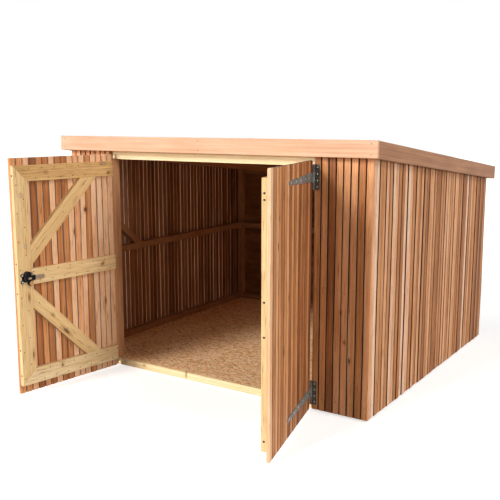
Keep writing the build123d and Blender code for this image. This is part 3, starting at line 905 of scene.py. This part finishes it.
def dressed(node, name, tones=MIXED_TONES, ease=BOARD_EASE, seed=1):
    """A planed copy of a node's boards: whole faces, eased edges, and grain along each board."""
    rng = random.Random(seed)
    piece = copy_of(frame["nodes"][node], name)
    # the copy is a piece of its own and no CAD node
    for key in [key for key in piece.keys() if key.startswith("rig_")]:
        del piece[key]
    piece.parent = None
    pick_edges(piece)
    bpy.ops.mesh.remove_doubles(threshold=SAME_POINT)
    bpy.ops.mesh.dissolve_limited(angle_limit=SAME_FACE)
    leave_edit()
    only(piece)
    mesh = piece.data
    boards = [(middle_of(mesh, members), board_axes(mesh, members)) for members in islands(mesh)]
    bevel = piece.modifiers.new("eased edges", "BEVEL")
    bevel.width = ease
    bevel.segments = 2
    bevel.limit_method = "ANGLE"
    bpy.ops.object.modifier_apply(modifier=bevel.name)

    mesh = piece.data
    places = [None] * len(mesh.vertices)
    shades = [0.0] * len(mesh.vertices)
    for members in islands(mesh):
        middle = middle_of(mesh, members)
        centre, axes = min(boards, key=lambda board: (board[0] - middle).length)
        shift = Vector((rng.uniform(0.01, 0.06), rng.uniform(0.03, 0.15), rng.uniform(0, 40)))
        tone = rng.uniform(*tones)
        for i in members:
            away = mesh.vertices[i].co - centre
            places[i] = Vector(away.dot(axis) for axis in axes) + shift
            shades[i] = tone
    store(mesh, places, shades, [1.0] * len(places))
    return piece


for node in (
    "jamb_posts", "front_corner_posts", "back_corner_posts", "bottom_rails", "middle_rails",
    "top_plates", "wall_braces", "roof_rafters", "floor_bearers",
):
    name = f"{node}_planed"
    board = dressed(node, name, JAMB_TONES if node == "jamb_posts" else MIXED_TONES, seed=len(name))
    finish_piece(board, FRAME_TIMBER, "shelter", "frame_timber", node)

for node, seed in (("front_fascia", 3), ("back_fascia", 5), ("left_fascia", 7), ("right_fascia", 9)):
    tones = FRONT_FASCIA_TONES if node == "front_fascia" else FASCIA_TONES
    board = dressed(node, f"{node}_board", tones, seed=seed)
    finish_piece(board, FASCIA, "shelter", "fascia_board", node)

for node, tones in (("door_sill", SILL_TONES), ("door_header", HEADER_TONES)):
    board = dressed(node, f"{node}_board", tones, seed=6)
    finish_piece(board, PALE_TIMBER, "shelter", "door_timber", node)

for node, finish, slot in (
    ("floor_front_sheet", STRAND_BOARD, "strand_board"),
    ("floor_back_sheet", STRAND_BOARD, "strand_board"),
    ("roof_deck", STRAND_BOARD, "strand_board"),
    ("back_wall_board", PLYWOOD, "plywood"),
    ("roof_liner", RUBBER, "rubber_liner"),
):
    finish_piece(dressed(node, f"{node}_cut", ease=SHEET_EASE), finish, "shelter", slot, node)

for side, name in SIDES:
    body, _ = LEAVES[side]
    # the rails' tones follow how light falls on the open leaf: the top rail is painted darker, painted shade,
    # and the middle and bottom rails paler, painted light from below
    for i, (timber, tone) in enumerate((
        ("stile", 0.64), ("top_rail", 0.3), ("middle_rail", 0.74),
        ("bottom_rail", 0.85), ("upper_brace", 0.55), ("lower_brace", 0.62),
    )):
        node = f"{name}_door_{timber}"
        tones = (tone - LEAF_FRAME_SPREAD, tone + LEAF_FRAME_SPREAD)
        board = dressed(node, f"{name}_leaf_{timber}", tones, seed=20 + i + 7 * side)
        finish_piece(board, DOOR_TIMBER, body, "door_timber", node)


# ==================================================== ironmongery of the frame
def keep_node(node, material):
    """A node whose shape is right: it gets its finish and stays."""
    materials = frame["nodes"][node].data.materials
    materials.clear()
    materials.append(material)


for _, name in SIDES:
    # the plates get the darker copy of the zinc: painted shade
    keep_node(f"{name}_hinge_plates", SHADED_ZINC)
    keep_node(f"{name}_hinge_straps", ZINC)
keep_node("lock_case", BLACK_METAL)
keep_node("lock_cylinder", BRASS)
keep_node("lock_bolt", BOLT_STEEL)


# ====================================================================== screws
FACING_FRONT = Matrix.Rotation(math.pi / 2, 4, "X")
FACING_BACK = Matrix.Rotation(-math.pi / 2, 4, "X")
FACING_LEFT = Matrix.Rotation(-math.pi / 2, 4, "Y")
FACING_RIGHT = Matrix.Rotation(math.pi / 2, 4, "Y")
HEAD_RIM = 0.2               # shares of a head's radius
RECESS_SLOPE = 0.3


def model_head(radius, height, proud, recess, neck=None, sides=SCREW_SIDES):
    """A head that faces up at the origin, standing this proud of it, with a recess this deep.

    It narrows to its neck, if it has one.
    """
    bpy.ops.object.select_all(action="DESELECT")
    bpy.ops.mesh.primitive_cone_add(
        vertices=sides, radius1=neck or radius, radius2=radius, depth=height,
        location=(0, 0, proud - height / 2),
    )
    head = bpy.context.object
    apply_place(head)
    pick_faces(head, lambda normal: normal.z > 0.9)
    bpy.ops.mesh.inset(thickness=radius * HEAD_RIM)
    bpy.ops.mesh.inset(thickness=radius * RECESS_SLOPE)
    bpy.ops.transform.translate(value=(0, 0, -recess))
    leave_edit()
    return head


def set_heads(name, head, places, material, body, slot=None):
    row = []
    for place in places:
        one = copy_of(head, name)
        one.matrix_world = place
        row.append(apply_place(one))
    finish_piece(joined(row, name), material, body, slot)


slat_head = model_head(SCREW_HEAD, height=0.002, proud=0.0005, recess=0.0003)
edge_head = model_head(EDGE_SCREW_HEAD, height=0.002, proud=0.0006, recess=0.0004)
lug_head = model_head(EDGE_SCREW_HEAD, height=0.0022, proud=0.0021, recess=0.0014)
hinge_head = model_head(
    HINGE_SCREW_HEAD, height=HINGE_THICKNESS - 0.0001, proud=0.0, recess=0.0013, neck=HINGE_SCREW_NECK,
)
nail_head = model_head(NAIL_HEAD, height=0.002, proud=0.0004, recess=0.0002, sides=NAIL_SIDES)
slat_nail = model_head(SLAT_NAIL, height=0.002, proud=0.0003, recess=0.0002, sides=NAIL_SIDES)

plate_low, plate_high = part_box("right_hinge_plates")
hinge_levels = (plate_low.z + PLATE_HEIGHT / 2, plate_high.z - PLATE_HEIGHT / 2)
slat_outs = [SLAT_GAP / 2 + SLAT_WIDTH / 2 + i * PITCH for i in range(LEAF_SLATS)]


def on_shut(side, out, y, level):
    """Where a head goes on a shut leaf, out from its hinge pin."""
    return Matrix.Translation((hinge_pin(side).x - side * out, y, level))


def out_from_pin(side, x):
    return side * (JOINTS[LEAVES[side][1]]["pos_m"][0] - x)


for side, name in SIDES:
    body, _ = LEAVES[side]
    opened = leaf_matrix(side)

    stile_low, stile_high = shut_box(side, f"{name}_door_stile")
    spots = []
    for rail in ("top_rail", "middle_rail", "bottom_rail"):
        low, high = shut_box(side, f"{name}_door_{rail}")
        for i, out in enumerate(slat_outs[:-2]):
            spots.append((out, (low.z + high.z) / 2 + SCREW_LEVEL * (-1) ** i))
    for i in range(int((stile_high.z - stile_low.z) / STILE_SCREW_STEP)):
        spots.append((slat_outs[-1 - i % 2], stile_low.z + (i + 0.5) * STILE_SCREW_STEP))
    for brace, rise in (("upper_brace", 1), ("lower_brace", -1)):
        low, high = shut_box(side, f"{name}_door_{brace}")
        middle = (low + high) / 2
        for share in BRACE_SCREW_SHARES:
            reach = share * (high.z - low.z)
            out = out_from_pin(side, middle.x) + BRACE_SHIFT - reach
            spots.append((out, middle.z + rise * (BRACE_SHIFT + reach)))
    places = [opened @ on_shut(side, out, stile_high.y, level) @ FACING_BACK for out, level in spots]
    set_heads(f"{name}_leaf_frame_screws", slat_head, places, SCREW_STEEL, body)

    edge_turn = FACING_RIGHT if side == LEFT else FACING_LEFT
    edge_out = max(out_from_pin(side, stile_low.x), out_from_pin(side, stile_high.x))
    depth = (stile_low.y + stile_high.y) / 2
    places = [opened @ on_shut(side, edge_out, depth, level) @ edge_turn for level in STILE_EDGE_SCREWS[side]]
    set_heads(f"{name}_stile_edge_screws", edge_head, places, SCREW_STEEL, body)

    places = [
        opened @ on_shut(side, out, front - HINGE_THICKNESS, level) @ FACING_FRONT
        for level in hinge_levels for out in STRAP_SCREW_REACHES
    ]
    set_heads(f"{name}_strap_screws", hinge_head, places, BRIGHT_SCREW, body, "bright_steel")
    places = [
        on_shut(side, -slat_outs[0], front - HINGE_THICKNESS, level + rise) @ FACING_FRONT
        for level in hinge_levels for rise in PLATE_SCREW_RISES
    ]
    set_heads(f"{name}_plate_screws", hinge_head, places, BRIGHT_SCREW, "shelter", "bright_steel")

lock_low, lock_high = shut_box(LEFT, "lock_case")
bolt_low, bolt_high = shut_box(LEFT, "lock_bolt")
outer_lug = lock_high.x - LOCK_LUG_RADIUS
bolt_line = (bolt_low.z + bolt_high.z) / 2
places = [
    leaf_matrix(LEFT) @ Matrix.Translation((x, lock_low.y + LOCK_LUG_THICKNESS, level)) @ FACING_BACK
    for x in (outer_lug, outer_lug - 2 * LOCK_LUG_SPREAD)
    for level in (bolt_line - LOCK_LUG_RISE, bolt_line + LOCK_LUG_RISE)
]
set_heads("lock_lug_screws", lug_head, places, BRIGHT_SCREW, "left_door", "bright_steel")

lock_middle = outer_lug - LOCK_LUG_SPREAD
near, far = WINDOW_REACH
shallow, deep = WINDOW_PLATE_DEPTH
plate = squared(
    "lock_window_plate",
    (lock_middle + near, lock_low.y + shallow, bolt_line - WINDOW_HALF_HEIGHT),
    (lock_middle + far, lock_low.y + deep, bolt_line + WINDOW_HALF_HEIGHT),
)
pick_faces(plate, lambda normal: normal.y > 0.9)
bpy.ops.mesh.inset(thickness=WINDOW_PLATE_RIM)
bpy.ops.transform.translate(value=(0, WINDOW_PLATE_RISE, 0))
leave_edit()
finish_piece(open_leaf(plate, LEFT), LOCK_PLATE, "left_door", None)

fascia_low, fascia_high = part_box("front_fascia")
places = [
    Matrix.Translation((x, fascia_low.y, level)) @ FACING_FRONT
    for x in (fascia_low.x + NAIL_END, 0.0, fascia_high.x - NAIL_END)
    for level in (fascia_low.z + NAIL_EDGE, fascia_high.z - NAIL_EDGE)
]
sill_line = (sill_low.y + sill_high.y) / 2
places += [Matrix.Translation((x, sill_line, sill_high.z)) for x in SILL_NAILS]
set_heads("fascia_and_sill_nails", nail_head, places, SCREW_STEEL, "shelter")

nail_levels = [(low.z + high.z) / 2 for low, high in (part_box("bottom_rails"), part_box("middle_rails"))]
for name, turn in (
    ("front_left_slats", FACING_FRONT),
    ("front_right_slats", FACING_FRONT),
    ("left_wall_slats", FACING_LEFT),
    ("right_wall_slats", FACING_RIGHT),
    ("back_wall_slats", FACING_BACK),
):
    places = [
        Matrix.Translation((face.x, face.y, level + SLAT_NAIL_SHIFT * (-1) ** i)) @ turn
        for i, face in enumerate(slat_faces[name]) for level in nail_levels
    ]
    set_heads(name.replace("slats", "nails"), slat_nail, places, SCREW_STEEL, "shelter")
for pattern in (slat_head, edge_head, lug_head, hinge_head, nail_head, slat_nail):
    dismiss(pattern)


# ===================================================== floor, light and camera
FLOOR_SIZE = 60
FLOOR_DROP = 0.001           # how far the floor lies under the shelter's feet
FLOOR_COLOUR = "d8d6d2"
FLOOR_SHINE = 0.62           # what the camera sees on top of that
FLOOR_BOUNCE = "a9a7a3"      # the colour by which the floor lights the shelter
WHITE = (1, 1, 1, 1)
WORLD_LIGHT = 0.10

# each lamp, where it stands as seen from the shelter, its strength and its width in degrees
LAMPS = (
    ("high_key", (-0.30, -1.0, 0.50), 2.5, 16),
    ("low_key", (-0.34, -1.0, 0.14), 1.34, 13),
    ("side_light", (-1.0, -0.30, 0.2), 2.0, 16),
    ("low_fill", (1.0, -0.38, 0.22), 1.5, 20),
    ("high_fill", (1.0, 0.0, 0.9), 1.32, 20),
)

CAMERA_PLACE = (2.717, -4.668, 1.626)
CAMERA_LOOK = (-0.539, 0.825, -0.167)
CAMERA_LENS = 54.8
SENSOR_WIDTH = 36


def sun(name, towards, strength, softness):
    light = bpy.data.lights.new(name, "SUN")
    light.energy = strength
    light.angle = math.radians(softness)
    holder = bpy.data.objects.new(name, light)
    holder.rotation_euler = Vector(towards).to_track_quat("Z", "Y").to_euler()
    bpy.context.scene.collection.objects.link(holder)


def studio_floor():
    """A pale floor that reads as white where it is lit and keeps the shelter's shadow."""
    bpy.ops.object.select_all(action="DESELECT")
    bpy.ops.mesh.primitive_plane_add(size=FLOOR_SIZE, location=(0, 0, -FLOOR_DROP))
    floor = bpy.context.object
    floor.name = "studio_floor"
    paper = Finish("studio floor", 0.9, specular=0.0)
    paper.paint(colour(FLOOR_COLOUR))
    glow = paper.node("Emission", {"Strength": FLOOR_SHINE})
    both = paper.node("AddShader", {0: paper.surface.outputs[0], 1: glow.outputs[0]})
    plain = paper.node("BsdfDiffuse", {"Color": colour(FLOOR_BOUNCE)})
    paper.show("Material Output", plain, both)
    floor.data.materials.append(paper.material)


def studio_world():
    """A soft light from all round, with plain white for the camera and for reflections."""
    world = bpy.data.worlds.new("studio")
    bpy.context.scene.world = world
    world.use_nodes = True
    sky = NodeWork(world.node_tree)
    dim, bright = sky.nodes["Background"], sky.node("Background")
    for light, strength in ((dim, WORLD_LIGHT), (bright, 1.0)):
        light.inputs["Color"].default_value = WHITE
        light.inputs["Strength"].default_value = strength
    sky.show("World Output", dim, bright)


studio_floor()
studio_world()
for lamp in LAMPS:
    sun(*lamp)

lens = bpy.data.cameras.new("camera")
lens.lens = CAMERA_LENS
lens.sensor_width = SENSOR_WIDTH
camera = bpy.data.objects.new("camera", lens)
camera.location = CAMERA_PLACE
camera.rotation_euler = Vector(CAMERA_LOOK).to_track_quat("-Z", "Y").to_euler()
bpy.context.scene.collection.objects.link(camera)
bpy.context.scene.camera = camera
bpy.context.scene.view_settings.view_transform = "Standard"
